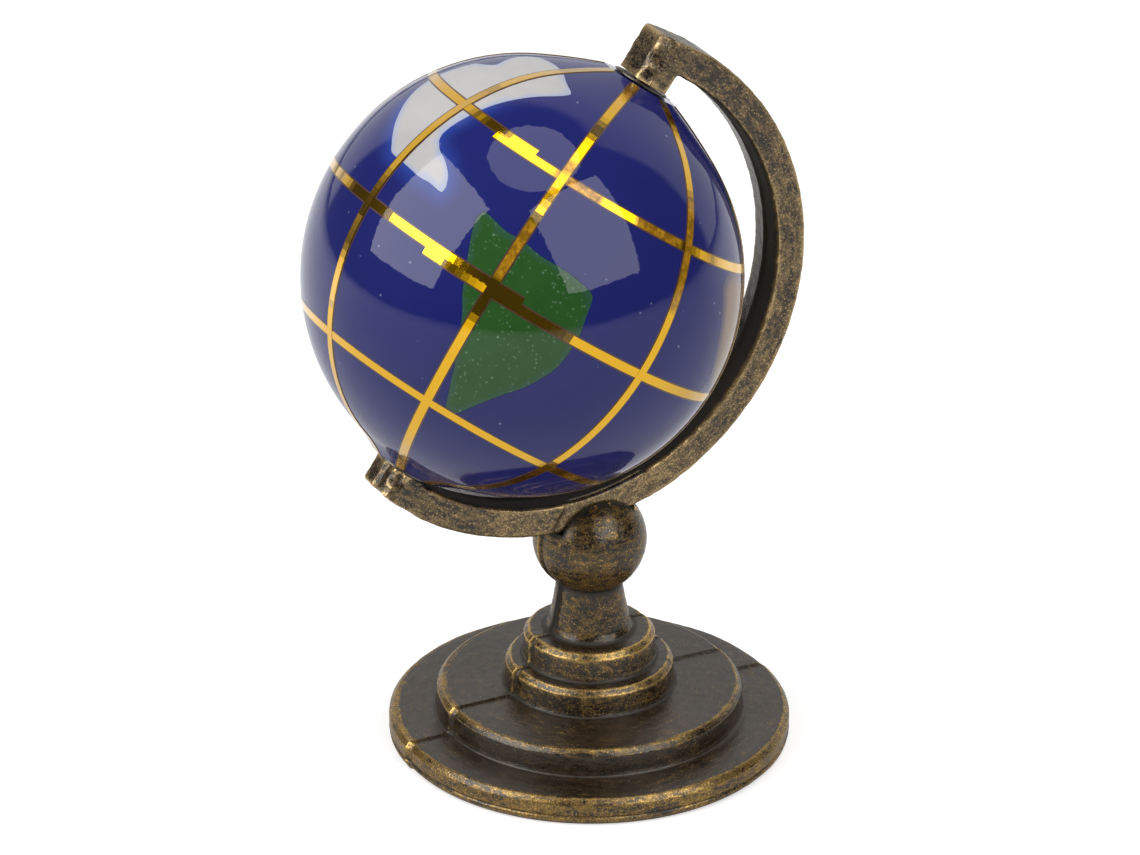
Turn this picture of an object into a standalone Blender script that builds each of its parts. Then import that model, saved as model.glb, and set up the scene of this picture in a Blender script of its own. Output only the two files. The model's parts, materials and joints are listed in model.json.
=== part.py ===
"""Miniature desktop globe: an inlaid resin ball on a tilted axle in a cast brass-finish stand.

Metres, +Z up. The stand's centre is on the Z axis, its underside is at z = 0, and the C-shaped arm
lies in the XZ plane. Lengths below are in millimetres; the finished meshes are scaled to metres.
"""
import math

import bmesh
import bpy
from mathutils import Matrix, Vector
from mathutils.geometry import delaunay_2d_cdt

MM = 0.001

# Globe: a ball on a polar axis that leans in the XZ plane.
BALL_CENTRE = Vector((-4.3, 0.0, 29.8))
TILT = math.radians(35.3)
BALL_RADIUS = 12.38         # resin under the foil
SEAT_LATITUDE = 80.5        # the ball ends here in a flat seat for each washer
SWELL_HEIGHT = 0.4          # the ball stands this far off the sphere at its seats
SWELL_REACH = {1: 27.5, -1: 19.0}       # degrees from each pole at which the swelling starts
WASHER_RADIUS = 1.65
WASHER_THICKNESS = 0.14
WASHER_EASE = 0.04          # chamfer of its outer edge
WASHER_GAP = 0.04
AXLE_RADIUS = 0.5
AXLE_CLEARANCE = 0.05       # running clearance in the ball's bore
BALL_RINGS = 24
BALL_SEGMENTS = 48

# Foil grid, laid on the ball: three rings first, then eight strips over them.
FOIL_WIDTH = 0.5
RING_RADII = (12.41, 12.44)
STRIP_RADII = (12.47, 12.50)
RING_LATITUDES = {"foil_equator": -0.3, "foil_north_parallel": 34.3, "foil_south_parallel": -37.1}
STRIP_LONGITUDES = (0.0, 47.0, 91.5, 136.0, 180.0, 226.0, 270.5, 317.0)     # laid by eye
STRIP_END_LATITUDE = 80.0
STRIP_SEGMENTS = 24
MAIN_MERIDIAN = -38.5       # degrees from the meridian that faces the front of the arm

# Land inlays, each an outline of (latitude, longitude) in degrees from the main meridian.
INLAY_RADII = (11.70, 12.36)
POCKET_RADII = (11.62, 12.80)
POCKET_CLEARANCE = 0.04
INLAY_GRID = 2.0            # spacing of the points that follow the ball's curve
LANDS = {
    "north_america_inlay": ("white_resin", [
        (13, -47.5), (15, -50.5), (19, -56.5), (25, -64), (29.5, -68.5), (33.5, -71), (37.5, -72),
        (42, -71.5), (46, -71), (48, -65), (50.5, -62), (54, -68), (58, -73), (62.5, -70.5),
        (64.5, -57.5), (64.5, -43), (61, -30), (58.5, -21), (55, -23.5), (49, -30), (44, -33.5),
        (39, -36), (33.5, -37.5), (28.5, -38.5), (25, -38.5), (23, -37.5), (21, -34.5), (20, -31),
        (17.5, -27), (14.5, -25), (12.5, -25), (13, -30), (12.5, -33.5), (13, -40.5)]),
    "south_america_inlay": ("green_resin", [
        (8, -11.5), (12, -13), (15, -12.5), (14.5, -9), (13.5, -4.5), (14, 0), (13, 5.5), (13, 11),
        (13, 15), (12, 21), (11, 23.5), (5, 24.5), (0.5, 25.5), (-4.5, 25.5), (-10, 25), (-17.5, 21.5),
        (-23.5, 17), (-30, 13), (-35.5, 10), (-36.5, 6.5), (-30.5, 4.5), (-21, 1.5), (-15.5, -0.5),
        (-9.5, -3), (-5.5, -5.5), (0.5, -8)]),
    "africa_inlay": ("tan_resin", [
        (34, 73), (29, 67), (23, 69), (12, 73), (4, 78), (-2, 89), (-16, 98), (-30, 102), (-30, 112),
        (-12, 118), (2, 124), (12, 120), (27, 106), (32, 92)]),
    "eurasia_inlay": ("green_resin", [
        (40, 88), (52, 84), (62, 96), (66, 130), (66, 170), (60, 196), (50, 202), (40, 190),
        (26, 186), (14, 172), (20, 160), (10, 148), (22, 138), (16, 126), (30, 112), (36, 100)]),
    "australia_inlay": ("white_resin", [
        (-14, 192), (-18, 180), (-32, 182), (-35, 198), (-33, 214), (-22, 218), (-12, 208)]),
}

# Arm: a rectangular bar on a circle that is not quite centred on the ball.
ARM_CENTRE = Vector((-2.5, 0.0, 29.25))
ARM_INNER = 13.5
ARM_OUTER = 15.4
ARM_HALF_DEPTH = 1.45
ARM_EDGE_ROUND = 0.2
ARM_CORNER = 0.4
ARM_STEP = math.radians(6.0)
POST_HALF_WIDTH = 1.05
POST_TIP = 12.83            # along the axis from the ball's centre
POST_BORE_DEPTH = 1.6
PRESS_GAP = 0.03            # round the axle in its posts and the peg in the knob
PEG_RADIUS = 0.9
PEG_BOTTOM = 9.6

# Foot: outline as (radius, height) from the centre of the underside to the top of the knob.
FOOT_RIM = [(11.4, 0.0), (11.62, 0.2), (11.66, 0.9), (11.6, 1.45), (11.4, 1.7)]
FOOT_TIERS = [(8.87, 3.3), (4.87, 5.0), (3.8, 6.78)]
TIER_ROUND = 0.18
TIER_FILLET = (0.06, 0.25)  # heights at which the fillet under a tier starts and ends
STEM = [(2.7, 6.83), (2.4, 7.05), (2.18, 7.6), (2.0, 8.6), (1.88, 9.86)]
KNOB_RADIUS = 3.24
KNOB_HEIGHT = 12.5
KNOB_STEPS = 11
FOOT_SEGMENTS = 44
SLOT_GAP = 0.04

# The two mould halves met slightly out of line, so the back half of each casting stands off.
MOULD_SHIFT = Vector((-0.2, 0.0, 0.12))
MOULD_OVERLAP = 0.05

FINISHES = {
    "antique_brass": ((0.16, 0.11, 0.06), 0.38, 1.0),
    "steel": ((0.55, 0.55, 0.56), 0.3, 1.0),
    "blue_resin": ((0.012, 0.016, 0.16), 0.05, 0.0),
    "white_resin": ((0.62, 0.64, 0.68), 0.05, 0.0),
    "green_resin": ((0.02, 0.1, 0.03), 0.05, 0.0),
    "tan_resin": ((0.3, 0.2, 0.13), 0.05, 0.0),
    "gold_foil": ((0.85, 0.5, 0.08), 0.18, 1.0),
}

POLE_FLAT = (BALL_RADIUS + SWELL_HEIGHT) * math.sin(math.radians(SEAT_LATITUDE))
AXIS = Vector((math.sin(TILT), 0.0, math.cos(TILT)))
ACROSS = Vector((math.cos(TILT), 0.0, -math.sin(TILT)))


def clear_scene():
    for obj in list(bpy.data.objects):
        bpy.data.objects.remove(obj, do_unlink=True)


def finish_material(name):
    """One Principled material for each finish in the table above."""
    material = bpy.data.materials.get(name)
    if material is None:
        colour, roughness, metallic = FINISHES[name]
        material = bpy.data.materials.new(name)
        material.use_nodes = True
        shader = material.node_tree.nodes["Principled BSDF"]
        shader.inputs["Base Color"].default_value = (*colour, 1.0)
        shader.inputs["Roughness"].default_value = roughness
        shader.inputs["Metallic"].default_value = metallic
    return material


def make_object(name, mesh_data, finish=None, smooth=False):
    """Turn (points, faces) into an object with outward normals, still in millimetres."""
    points, faces = mesh_data
    mesh = bpy.data.meshes.new(name)
    bm = bmesh.new()
    verts = [bm.verts.new(p) for p in points]
    for face in faces:
        bm.faces.new([verts[i] for i in face])
    bmesh.ops.recalc_face_normals(bm, faces=bm.faces)
    big = [f for f in bm.faces if len(f.verts) > 4]
    bmesh.ops.triangulate(bm, faces=big, ngon_method="EAR_CLIP")
    bm.to_mesh(mesh)
    bm.free()
    for polygon in mesh.polygons:
        polygon.use_smooth = smooth
    obj = bpy.data.objects.new(name, mesh)
    bpy.context.scene.collection.objects.link(obj)
    if finish:
        mesh.materials.append(finish_material(finish))
    return obj


def boolean(target, cutter, operation):
    """Apply one exact boolean and drop the cutter."""
    modifier = target.modifiers.new(operation.lower(), "BOOLEAN")
    modifier.object = cutter
    modifier.operation = operation
    modifier.solver = "EXACT"
    bpy.context.view_layer.update()
    graph = bpy.context.evaluated_depsgraph_get()
    mesh = bpy.data.meshes.new_from_object(target.evaluated_get(graph))
    target.modifiers.clear()
    target.data = mesh
    bpy.data.objects.remove(cutter, do_unlink=True)


def polar_frame():
    """Columns: meridian zero, ninety degrees east, north, for the globe at rest."""
    spin = math.radians(MAIN_MERIDIAN)
    front = Vector((0.0, -1.0, 0.0))
    east = AXIS.cross(front)
    zero = front * math.cos(spin) + east * math.sin(spin)
    ninety = AXIS.cross(zero)
    return Matrix((zero, ninety, AXIS)).transposed()


def on_globe(x, y, z):
    """A point in the globe's own frame, in millimetres, to its place on the stand."""
    return BALL_CENTRE + polar_frame() @ Vector((x, y, z))


def from_lat_lon(latitude, longitude, radius):
    return Vector((radius * math.cos(latitude) * math.cos(longitude),
                   radius * math.cos(latitude) * math.sin(longitude),
                   radius * math.sin(latitude)))


def swell(latitude):
    """How far the ball's skin stands off the sphere at a latitude in radians."""
    reach = SWELL_REACH[1 if latitude > 0 else -1]
    from_pole = 90.0 - abs(math.degrees(latitude))
    share = max(0.0, (reach - from_pole) / (reach - 90.0 + SEAT_LATITUDE))
    return SWELL_HEIGHT * share * share


def lathe(profile, segments, place=None, closed=True, arc=(0.0, 2 * math.pi)):
    """Revolve a (radius, height) profile about Z; points of zero radius become one point.

    A closed profile is a ring's section. An open one starts and ends on the axis. An arc of less
    than a full turn gets a flat face at each end.
    """
    full = abs(arc[1] - arc[0] - 2 * math.pi) < 1e-9
    steps = segments if full else segments + 1
    points, rows = [], []
    for radius, height in profile:
        row = []
        for i in range(steps):
            if radius == 0.0 and row:
                row.append(row[0])
                continue
            angle = arc[0] + (arc[1] - arc[0]) * i / segments
            row.append(len(points))
            points.append(Vector((radius * math.cos(angle), radius * math.sin(angle), height)))
        rows.append(row)
    faces = []
    pairs = list(zip(rows, rows[1:] + rows[:1])) if closed else list(zip(rows, rows[1:]))
    for low, high in pairs:
        for i in range(segments):
            j = (i + 1) % steps
            corners = [low[i], low[j], high[j], high[i]]
            unique = [c for k, c in enumerate(corners) if c not in corners[:k]]
            if len(unique) > 2:
                faces.append(unique)
    if not full:
        rim = [row[0] for row in rows] + [row[-1] for row in reversed(rows)]
        faces.append([c for k, c in enumerate(rim) if c not in rim[:k]])
    return ([place(*p) for p in points] if place else points), faces


def foot_profile(lift):
    """The stepped foot, stem and knob; lift raises all but the underside."""
    outline = [(0.0, 0.0)] + FOOT_RIM
    below = FOOT_RIM[-1][1]
    for radius, top in FOOT_TIERS:
        outline += [(radius + TIER_ROUND, below + TIER_FILLET[0]), (radius, below + TIER_FILLET[1]),
                    (radius - 0.04, top - TIER_ROUND), (radius - TIER_ROUND, top)]
        below = top
    outline += STEM
    low = math.asin((STEM[-1][1] - KNOB_HEIGHT) / KNOB_RADIUS)
    for i in range(1, KNOB_STEPS):
        angle = low + (math.pi / 2 - low) * i / KNOB_STEPS
        outline.append((KNOB_RADIUS * math.cos(angle), KNOB_HEIGHT + KNOB_RADIUS * math.sin(angle)))
    outline.append((0.0, KNOB_HEIGHT + KNOB_RADIUS))
    flat = 1.0e-6
    return [(r, z + (lift if z > flat else 0.0)) for r, z in outline]


def build_foot():
    half = FOOT_SEGMENTS // 2
    front = make_object("foot", lathe(foot_profile(0.0), half, closed=False,
                                      arc=(-math.pi, 0.0)), "antique_brass", smooth=True)
    shift = Vector((MOULD_SHIFT.x, -MOULD_OVERLAP, 0.0))
    back = make_object("foot_back", lathe(foot_profile(MOULD_SHIFT.z), half,
                                          lambda x, y, z: Vector((x, y, z)) + shift,
                                          closed=False, arc=(0.0, math.pi)))
    boolean(front, back, "UNION")
    slot_depth = ARM_HALF_DEPTH + SLOT_GAP
    disc = [(0.0, -slot_depth), (ARM_OUTER + SLOT_GAP, -slot_depth),
            (ARM_OUTER + SLOT_GAP, slot_depth), (0.0, slot_depth)]
    slot = make_object("slot", lathe(disc, 2 * FOOT_SEGMENTS, lambda x, y, z: ARM_CENTRE
                                     + Vector((x, z, y)), closed=False))
    boolean(front, slot, "DIFFERENCE")
    boolean(front, rod("socket", Vector((0, 0, PEG_BOTTOM - 0.1)), Vector((0, 0, 1)),
                       PEG_RADIUS + PRESS_GAP, KNOB_RADIUS + 3.0), "DIFFERENCE")
    return front


def rod(name, start, direction, radius, length, chamfer=0.0, segments=24, finish=None):
    """A round rod in millimetres, with an optional chamfer at both ends."""
    turn = direction.to_track_quat("Z", "Y").to_matrix()
    tip = radius - chamfer
    profile = [(0.0, 0.0), (tip, 0.0), (radius, chamfer), (radius, length - chamfer), (tip, length),
               (0.0, length)]
    if chamfer == 0.0:
        profile = [(0.0, 0.0), (radius, 0.0), (radius, length), (0.0, length)]
    return make_object(name, lathe(profile, segments, lambda x, y, z: start + turn @ Vector((x, y, z)),
                                   closed=False), finish, smooth=bool(finish))


def crossing(side, radius, sign):
    """Where a post's side line meets a circle of the arm, going from the ball towards a pole."""
    start = BALL_CENTRE + side * POST_HALF_WIDTH * ACROSS - ARM_CENTRE
    along = sign * AXIS
    b = start.dot(along)
    return start + along * (-b + math.sqrt(b * b - start.length_squared + radius * radius))


def arc_points(first, last, radius, step):
    """Points of a circle about the arm's centre, short way round through +X, ends left out."""
    a, b = math.atan2(first.z, first.x), math.atan2(last.z, last.x)
    count = max(2, round(abs(b - a) / step))
    angles = [a + (b - a) * i / count for i in range(1, count)]
    return [Vector((radius * math.cos(t), 0.0, radius * math.sin(t))) for t in angles]


def arm_outline():
    """The C of the arm with its two posts, as (point, corner radius), about the arm's centre.

    The lower post is so short that its inner corner stays sharp.
    """
    tips = {(side, sign): BALL_CENTRE + side * POST_HALF_WIDTH * ACROSS + sign * POST_TIP * AXIS
            - ARM_CENTRE for side in (-1, 1) for sign in (-1, 1)}
    inner = [crossing(1, ARM_INNER, 1), crossing(1, ARM_INNER, -1)]
    outer = [crossing(-1, ARM_OUTER, -1), crossing(-1, ARM_OUTER, 1)]
    low_angle = math.atan2(outer[0].z, outer[0].x)
    outer_arc = arc_points(outer[0], outer[1], ARM_OUTER, ARM_STEP)
    if low_angle > 0:
        raise ValueError("the arm's lower end has to lie below its centre")
    corner = ARM_CORNER
    return ([(tips[(1, 1)], 0.0), (inner[0], corner)]
            + [(p, 0.0) for p in arc_points(inner[0], inner[1], ARM_INNER, ARM_STEP)]
            + [(inner[1], 0.0), (tips[(1, -1)], 0.0), (tips[(-1, -1)], 0.0), (outer[0], corner)]
            + [(p, 0.0) for p in outer_arc]
            + [(outer[1], corner), (tips[(-1, 1)], 0.0)])


def rounded(outline, steps=3):
    """Replace each corner that has a radius by an arc-like run of points."""
    result = []
    for i, (point, radius) in enumerate(outline):
        if radius == 0.0:
            result.append(point)
            continue
        before = (outline[i - 1][0] - point).normalized() * radius
        after = (outline[(i + 1) % len(outline)][0] - point).normalized() * radius
        for k in range(steps + 1):
            t = k / steps
            result.append(point + before * (1 - t) ** 2 + after * t ** 2)
    return result


def inset(points, distance):
    """Move a closed outline inwards by a distance."""
    moved = []
    for i, point in enumerate(points):
        into = (point - points[i - 1]).normalized()
        out = (points[(i + 1) % len(points)] - point).normalized()
        n1, n2 = Vector((into.z, 0, -into.x)), Vector((out.z, 0, -out.x))
        mean = (n1 + n2).normalized()
        moved.append(point + mean * distance / max(0.4, mean.dot(n1)))
    return moved


def arm_half(name, outline, inward, side, shift):
    """Half of the bar's depth, from the mould line to one face, with a rounded rim."""
    layers = [(-side * MOULD_OVERLAP, 0.0), (side * (ARM_HALF_DEPTH - ARM_EDGE_ROUND), 0.0),
              (side * (ARM_HALF_DEPTH - 0.3 * ARM_EDGE_ROUND), 0.35 * ARM_EDGE_ROUND),
              (side * ARM_HALF_DEPTH, ARM_EDGE_ROUND)]
    points, count = [], len(outline)
    for depth, amount in layers:
        loop = inset(outline, inward * amount) if amount else outline
        points += [ARM_CENTRE + shift + p + Vector((0, depth, 0)) for p in loop]
    faces = [list(range(count)), [len(points) - count + i for i in range(count)]]
    for layer in range(len(layers) - 1):
        for i in range(count):
            j = (i + 1) % count
            a, b = layer * count, (layer + 1) * count
            faces.append([a + i, a + j, b + j, b + i])
    return make_object(name, (points, faces), "antique_brass")


def signed_area(outline):
    pairs = zip(outline, outline[1:] + outline[:1])
    return 0.5 * sum(p.x * q.z - q.x * p.z for p, q in pairs)


def build_arm():
    outline = rounded(arm_outline())
    inward = 1.0 if signed_area(outline) < 0 else -1.0
    arm = arm_half("meridian_arm", outline, inward, -1, Vector((0, 0, 0)))
    back = arm_half("arm_back", outline, inward, 1, MOULD_SHIFT)
    boolean(arm, back, "UNION")
    peg_top = ARM_CENTRE.z - 0.5 * (ARM_INNER + ARM_OUTER) - PEG_BOTTOM
    boolean(arm, rod("peg", Vector((0, 0, PEG_BOTTOM)), Vector((0, 0, 1)), PEG_RADIUS, peg_top), "UNION")
    for sign in (-1, 1):
        start = BALL_CENTRE + sign * (POST_TIP - 0.5) * AXIS
        boolean(arm, rod("post_bore", start, sign * AXIS, AXLE_RADIUS + PRESS_GAP,
                         0.5 + POST_BORE_DEPTH), "DIFFERENCE")
    return arm


def build_axle_and_washers():
    reach = POST_TIP + POST_BORE_DEPTH - 0.1
    axle = rod("axle_rod", BALL_CENTRE - reach * AXIS, AXIS, AXLE_RADIUS, 2 * reach, 0.1, 24, "steel")
    bore = AXLE_RADIUS + AXLE_CLEARANCE
    objects = [axle]
    for name, sign in (("top_washer", 1), ("bottom_washer", -1)):
        low = sign * (POLE_FLAT + WASHER_GAP)
        high = sign * (POLE_FLAT + WASHER_GAP + WASHER_THICKNESS)
        section = [(bore, low), (WASHER_RADIUS, low), (WASHER_RADIUS, high - sign * WASHER_EASE),
                   (WASHER_RADIUS - WASHER_EASE, high), (bore, high)]
        objects.append(make_object(name, lathe(section, 24, on_globe), "steel"))
    return objects


def patch_solid(outline, radii, grow):
    """A radial slab whose rim is an outline in latitude and longitude, following the ball.

    The outline is laid out flat around its middle, grown by a clearance, filled with a grid of
    points, triangulated, and wrapped back on the ball at an inner and an outer radius.
    """
    corners = [from_lat_lon(math.radians(a), math.radians(b), 1.0) for a, b in outline]
    middle = sum(corners, Vector()).normalized()
    east = Vector((0, 0, 1)).cross(middle).normalized()
    north = middle.cross(east)
    flat = []
    for c in corners:
        angle = middle.angle(c)
        scale = BALL_RADIUS * angle / math.sin(angle)
        flat.append(Vector((c.dot(east) * scale, 0.0, c.dot(north) * scale)))
    if grow:
        inward = 1.0 if signed_area(flat) < 0 else -1.0
        flat = inset(flat, -inward * grow)
    rim = []
    for p, q in zip(flat, flat[1:] + flat[:1]):
        pieces = max(1, math.ceil((q - p).length / INLAY_GRID))
        rim += [p.lerp(q, k / pieces) for k in range(pieces)]
    rim2 = [Vector((p.x, p.z)) for p in rim]
    xs, ys = [p.x for p in rim2], [p.y for p in rim2]
    grid = []
    for i in range(math.ceil((max(xs) - min(xs)) / INLAY_GRID)):
        for j in range(math.ceil((max(ys) - min(ys)) / INLAY_GRID)):
            p = Vector((min(xs) + (i + 0.5) * INLAY_GRID, min(ys) + (j + 0.5) * INLAY_GRID))
            if min((p - q).length for q in rim2) > 0.5 * INLAY_GRID and inside(p, rim2):
                grid.append(p)
    count = len(rim2)
    edges = [(i, (i + 1) % count) for i in range(count)]
    verts, _, faces, *_ = delaunay_2d_cdt(rim2 + grid, edges, [], 1, 1e-6)
    points = []
    for radius in radii:
        for v in verts:
            away = v.length / BALL_RADIUS
            side = (east * v.x + north * v.y).normalized() if v.length else Vector()
            points.append(on_globe(*(middle * math.cos(away) + side * math.sin(away)) * radius))
    total = len(verts)
    walls = []
    for i, j in edges:
        walls.append([i, j, j + total, i + total])
    lower = [list(f) for f in faces]
    upper = [[i + total for i in f] for f in faces]
    return points, lower + upper + walls


def inside(point, outline):
    """Even-odd test of a point in a flat outline."""
    hit = False
    for p, q in zip(outline, outline[1:] + outline[:1]):
        if (p.y > point.y) != (q.y > point.y):
            if point.x < p.x + (q.x - p.x) * (point.y - p.y) / (q.y - p.y):
                hit = not hit
    return hit


def build_ball_and_lands():
    bore = AXLE_RADIUS + AXLE_CLEARANCE
    top = math.radians(SEAT_LATITUDE)
    section = [(bore, -POLE_FLAT)]
    for i in range(BALL_RINGS):
        a = -top + 2 * top * i / (BALL_RINGS - 1)
        skin = BALL_RADIUS + swell(a)
        section.append((skin * math.cos(a), skin * math.sin(a)))
    section.append((bore, POLE_FLAT))
    ball = make_object("globe_ball", lathe(section, BALL_SEGMENTS, on_globe), "blue_resin", smooth=True)
    lands = []
    for name, (finish, outline) in LANDS.items():
        pocket = make_object("pocket", patch_solid(outline, POCKET_RADII, POCKET_CLEARANCE))
        boolean(ball, pocket, "DIFFERENCE")
        lands.append(make_object(name, patch_solid(outline, INLAY_RADII, 0.0), finish, smooth=True))
    return [ball] + lands


def build_foils():
    objects = []
    half = 0.5 * FOIL_WIDTH / RING_RADII[0]
    for name, latitude in RING_LATITUDES.items():
        middle = math.radians(latitude)
        section = [(r * math.cos(middle + s), r * math.sin(middle + s))
                   for r, s in ((RING_RADII[0], -half), (RING_RADII[1], -half),
                                (RING_RADII[1], half), (RING_RADII[0], half))]
        objects.append(make_object(name, lathe(section, BALL_SEGMENTS, on_globe), "gold_foil"))
    reach = math.radians(STRIP_END_LATITUDE)
    for index, degrees in enumerate(STRIP_LONGITUDES):
        longitude = math.radians(degrees)
        side = Vector((-math.sin(longitude), math.cos(longitude), 0.0)) * 0.5 * FOIL_WIDTH
        points = []
        for i in range(STRIP_SEGMENTS + 1):
            latitude = -reach + 2 * reach * i / STRIP_SEGMENTS
            for radius, sign in ((0, -1), (0, 1), (1, 1), (1, -1)):
                level = STRIP_RADII[radius] + swell(latitude)
                p = from_lat_lon(latitude, longitude, level) + sign * side
                points.append(on_globe(*(p.normalized() * level)))
        faces = [[0, 1, 2, 3], [len(points) - 4 + k for k in range(4)]]
        for i in range(STRIP_SEGMENTS):
            for k in range(4):
                a, b = 4 * i + k, 4 * i + (k + 1) % 4
                faces.append([a, b, b + 4, a + 4])
        objects.append(make_object(f"foil_meridian_{index + 1}", (points, faces), "gold_foil"))
    return objects


def scale_to_metres():
    """The booleans are done at millimetre size; the finished meshes are in metres."""
    for obj in bpy.data.objects:
        obj.data.transform(Matrix.Scale(MM, 4))


def parent_to_globe_axis(objects):
    """The ball and everything on it turns about an empty on the polar axis."""
    pivot = bpy.data.objects.new("globe_axis", None)
    turn = polar_frame().to_4x4()
    pivot.matrix_world = Matrix.Translation(BALL_CENTRE * MM) @ turn
    bpy.context.scene.collection.objects.link(pivot)
    bpy.context.view_layer.update()
    for obj in objects:
        obj.parent = pivot
        obj.matrix_parent_inverse = pivot.matrix_world.inverted()


def main():
    clear_scene()
    build_foot()
    build_arm()
    build_axle_and_washers()
    turning = build_ball_and_lands() + build_foils()
    scale_to_metres()
    parent_to_globe_axis(turning)


main()
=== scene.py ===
"""Looks for the miniature globe: resin ball with inlays and foil, cast stand with antique finish."""
import json
import math
import random

import bpy
import bmesh
import numpy as np
from mathutils import Matrix, Vector, noise
from mathutils.geometry import delaunay_2d_cdt


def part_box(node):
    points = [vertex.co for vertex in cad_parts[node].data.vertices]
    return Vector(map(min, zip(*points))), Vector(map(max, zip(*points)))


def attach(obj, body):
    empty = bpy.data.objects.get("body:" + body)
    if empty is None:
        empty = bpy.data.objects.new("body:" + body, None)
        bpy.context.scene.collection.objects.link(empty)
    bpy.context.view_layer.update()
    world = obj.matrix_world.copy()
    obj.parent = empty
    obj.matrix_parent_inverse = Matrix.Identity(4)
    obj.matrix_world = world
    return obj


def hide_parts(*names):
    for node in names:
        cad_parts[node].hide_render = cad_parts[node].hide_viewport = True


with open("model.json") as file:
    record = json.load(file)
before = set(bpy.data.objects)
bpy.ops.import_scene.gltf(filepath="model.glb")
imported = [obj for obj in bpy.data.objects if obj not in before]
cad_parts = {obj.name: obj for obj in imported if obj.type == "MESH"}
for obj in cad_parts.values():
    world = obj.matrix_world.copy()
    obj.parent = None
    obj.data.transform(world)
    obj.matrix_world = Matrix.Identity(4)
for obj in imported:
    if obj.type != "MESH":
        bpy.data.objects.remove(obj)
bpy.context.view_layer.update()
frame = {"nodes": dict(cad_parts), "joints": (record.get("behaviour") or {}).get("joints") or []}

MM = 0.001
TAU = 2.0 * math.pi

# --- Places and sizes, in millimetres, from the frame where it states them ---
SPIN = next(j for j in frame["joints"] if j["name"] == "globe_spin")
AXIS = Vector(SPIN["axis"]).normalized()
BALL_CENTRE = Vector(SPIN["pos_m"]) / MM
ACROSS = Vector((AXIS.z, 0.0, -AXIS.x))


def node_box(name):
    low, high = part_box(name)
    return low / MM, high / MM


COAT_IOR, COAT_ROUGHNESS = 1.46, 0.015
COAT_RADIUS = 12.41         # the coated ball; foil stands a hair proud of it
RING_LEVEL, STRIP_LEVEL = 12.434, 12.458       # the strips are laid over the rings
SEAT_LATITUDE = 80.5        # the ball ends here in a flat seat for each washer
SWELL_HEIGHT = 0.4          # the ball stands this far off the sphere at its seats
SWELL_REACH = {1: 27.5, -1: 19.0}       # degrees from each pole at which the swelling starts
POLE_FLAT = 12.62
WASHER_RADIUS, WASHER_EASE = 1.65, 0.03
WASHER_RANGE = (12.65, 12.775)
AXLE_BORE = 0.55
MAIN_MERIDIAN = -38.5       # degrees from the meridian that faces the front of the arm

ARM_CENTRE = Vector((-2.5, 0.0, 29.25))
ARM_INNER, ARM_OUTER = 13.5, 15.4
ARM_HALF_DEPTH = 0.5 * (node_box("meridian_arm")[1].y - node_box("meridian_arm")[0].y)
POST_HALF_WIDTH, POST_TIP = 1.05, 12.83
POST_CORNER_CUT = 0.75      # measured along both faces together
SADDLE_DEPTH = 0.10         # the front is a little sunk where the arm sits in the knob
ARM_MISMATCH = (0.12, 0.9)  # share of the mould shift that shows, top post to bottom post

KNOB_RADIUS, KNOB_HEIGHT = 3.24, 12.5
MOULD_SHIFT = Vector((-0.2, 0.0, 0.12))     # the two mould halves met this far out of line
SLOT_GAP = 0.04             # round the arm where it sits in the knob

# Land inlays, each an outline of (latitude, longitude) in degrees from the main meridian. Both
# Americas and the west side of Africa are points picked on the photo, which a separate script
# turned into degrees; the rest is drawn by hand.
LANDS = {
    "north_america_inlay": ("white_resin", [
        (13, -47.5), (15, -50.5), (19, -56.5), (25, -64), (29.5, -68.5), (33.5, -71), (37.5, -72),
        (42, -71.5), (46, -71), (48, -65), (50.5, -62), (54, -68), (58, -73), (62.5, -70.5),
        (64.5, -57.5), (64.5, -43), (61, -30), (58.5, -21), (55, -23.5), (49, -30), (44, -33.5),
        (39, -36), (33.5, -37.5), (28.5, -38.5), (25, -38.5), (23, -37.5), (21, -34.5), (20, -31),
        (17.5, -27), (14.5, -25), (12.5, -25), (13, -30), (12.5, -33.5), (13, -40.5)]),
    "south_america_inlay": ("green_resin", [
        (8, -11.5), (12, -13), (15, -12.5), (14.5, -9), (13.5, -4.5), (14, 0), (13, 5.5), (13, 11),
        (13, 15), (12, 21), (11, 23.5), (5, 24.5), (0.5, 25.5), (-4.5, 25.5), (-10, 25), (-17.5, 21.5),
        (-23.5, 17), (-30, 13), (-35.5, 10), (-36.5, 6.5), (-30.5, 4.5), (-21, 1.5), (-15.5, -0.5),
        (-9.5, -3), (-5.5, -5.5), (0.5, -8)]),
    "africa_inlay": ("tan_resin", [
        (34, 73), (29, 67), (23, 69), (12, 73), (4, 78), (-2, 89), (-16, 98), (-30, 102), (-30, 112),
        (-12, 118), (2, 124), (12, 120), (27, 106), (32, 92)]),
    "eurasia_inlay": ("green_resin", [
        (40, 88), (52, 84), (62, 96), (66, 130), (66, 170), (60, 196), (50, 202), (40, 190),
        (26, 186), (14, 172), (20, 160), (10, 148), (22, 138), (16, 126), (30, 112), (36, 100)]),
    "australia_inlay": ("white_resin", [
        (-14, 192), (-18, 180), (-32, 182), (-35, 198), (-33, 214), (-22, 218), (-12, 208)]),
}
INLAY_DEPTH = 0.7
POCKET_GAP = 0.02           # under each inlay
POCKET_GROW = 0.015         # round each inlay
RIM_WIDTHS = {"white_resin": 0.3, "green_resin": 0.18, "tan_resin": 1.0}    # the blue tints them

# Camera: azimuth and elevation of the view, in degrees.
VIEW_AZIMUTH, VIEW_ELEVATION = -25.4, 25.66
VIEW_TARGET = Vector((-1.1, 0.5, 19.5))
VIEW_DISTANCE = 324.3
LENS, SENSOR = 179.7, 36.0


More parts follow.
